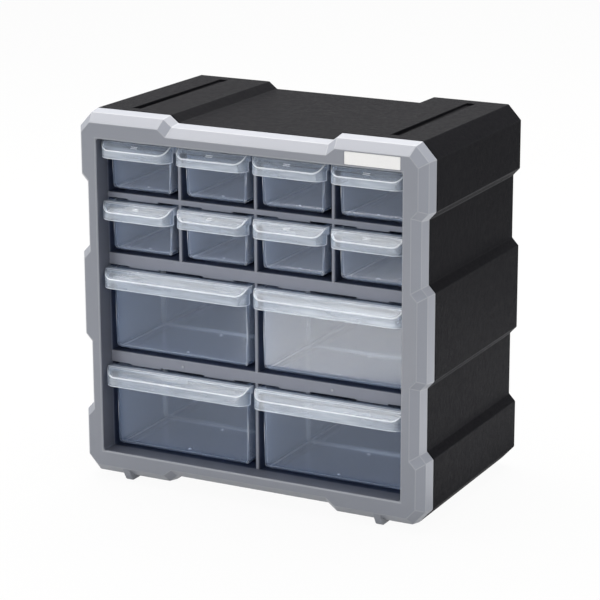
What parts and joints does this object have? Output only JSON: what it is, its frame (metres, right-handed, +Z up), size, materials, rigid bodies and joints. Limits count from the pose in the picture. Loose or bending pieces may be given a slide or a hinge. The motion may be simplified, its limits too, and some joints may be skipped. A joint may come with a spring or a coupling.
{
  "type": "parts bin cabinet",
  "caption": "Desk or wall cabinet for small parts: black tub housing, grey bevelled bezel and grid of cells, clear sliding drawers with hooded pulls in small and large sizes.",
  "frame": {"origin": "middle of the footprint, on the surface that the two runners stand on", "axes": "+X to the right seen from the front, +Y towards the back wall, +Z up; the drawers open towards -Y"},
  "size_m": [0.267, 0.1588, 0.265],
  "materials": {
    "housing_black": "fine-textured black moulded plastic",
    "bezel_grey": "satin grey moulded plastic",
    "frame_grey": "satin grey moulded plastic, a shade darker than the bezel",
    "drawer_clear": "clear, slightly cloudy moulded plastic",
    "label_white": "blank white label"
  },
  "bodies": {
    "cabinet": {"housing": "housing_black", "bezel": "bezel_grey", "inner_frame": "frame_grey", "label_plate": "label_white", "shelf_upper": "frame_grey", "shelf_middle": "frame_grey", "shelf_lower": "frame_grey", "divider_r1c1": "frame_grey", "divider_r1c2": "frame_grey", "divider_r1c3": "frame_grey", "divider_r2c1": "frame_grey", "divider_r2c2": "frame_grey", "divider_r2c3": "frame_grey", "divider_r3c1": "frame_grey", "divider_r4c1": "frame_grey"},
    "drawer_r1c1": {"drawer_r1c1": "drawer_clear"},
    "drawer_r1c2": {"drawer_r1c2": "drawer_clear"},
    "drawer_r1c3": {"drawer_r1c3": "drawer_clear"},
    "drawer_r1c4": {"drawer_r1c4": "drawer_clear"},
    "drawer_r2c1": {"drawer_r2c1": "drawer_clear"},
    "drawer_r2c2": {"drawer_r2c2": "drawer_clear"},
    "drawer_r2c3": {"drawer_r2c3": "drawer_clear"},
    "drawer_r2c4": {"drawer_r2c4": "drawer_clear"},
    "drawer_r3c1": {"drawer_r3c1": "drawer_clear"},
    "drawer_r3c2": {"drawer_r3c2": "drawer_clear"},
    "drawer_r4c1": {"drawer_r4c1": "drawer_clear"},
    "drawer_r4c2": {"drawer_r4c2": "drawer_clear"}
  },
  "joints": [
    {"name": "drawer_r1c1_slide", "type": "slide", "parent": "cabinet", "child": "drawer_r1c1", "axis": [0, -1, 0], "range_m": [0, 0.1225]},
    {"name": "drawer_r1c2_slide", "type": "slide", "parent": "cabinet", "child": "drawer_r1c2", "axis": [0, -1, 0], "range_m": [0, 0.1225]},
    {"name": "drawer_r1c3_slide", "type": "slide", "parent": "cabinet", "child": "drawer_r1c3", "axis": [0, -1, 0], "range_m": [0, 0.1225]},
    {"name": "drawer_r1c4_slide", "type": "slide", "parent": "cabinet", "child": "drawer_r1c4", "axis": [0, -1, 0], "range_m": [0, 0.1225]},
    {"name": "drawer_r2c1_slide", "type": "slide", "parent": "cabinet", "child": "drawer_r2c1", "axis": [0, -1, 0], "range_m": [0, 0.1225]},
    {"name": "drawer_r2c2_slide", "type": "slide", "parent": "cabinet", "child": "drawer_r2c2", "axis": [0, -1, 0], "range_m": [0, 0.1225]},
    {"name": "drawer_r2c3_slide", "type": "slide", "parent": "cabinet", "child": "drawer_r2c3", "axis": [0, -1, 0], "range_m": [0, 0.1225]},
    {"name": "drawer_r2c4_slide", "type": "slide", "parent": "cabinet", "child": "drawer_r2c4", "axis": [0, -1, 0], "range_m": [0, 0.1225]},
    {"name": "drawer_r3c1_slide", "type": "slide", "parent": "cabinet", "child": "drawer_r3c1", "axis": [0, -1, 0], "range_m": [0, 0.1225]},
    {"name": "drawer_r3c2_slide", "type": "slide", "parent": "cabinet", "child": "drawer_r3c2", "axis": [0, -1, 0], "range_m": [0, 0.1225]},
    {"name": "drawer_r4c1_slide", "type": "slide", "parent": "cabinet", "child": "drawer_r4c1", "axis": [0, -1, 0], "range_m": [0, 0.1225]},
    {"name": "drawer_r4c2_slide", "type": "slide", "parent": "cabinet", "child": "drawer_r4c2", "axis": [0, -1, 0], "range_m": [0, 0.1225]}
  ]
}
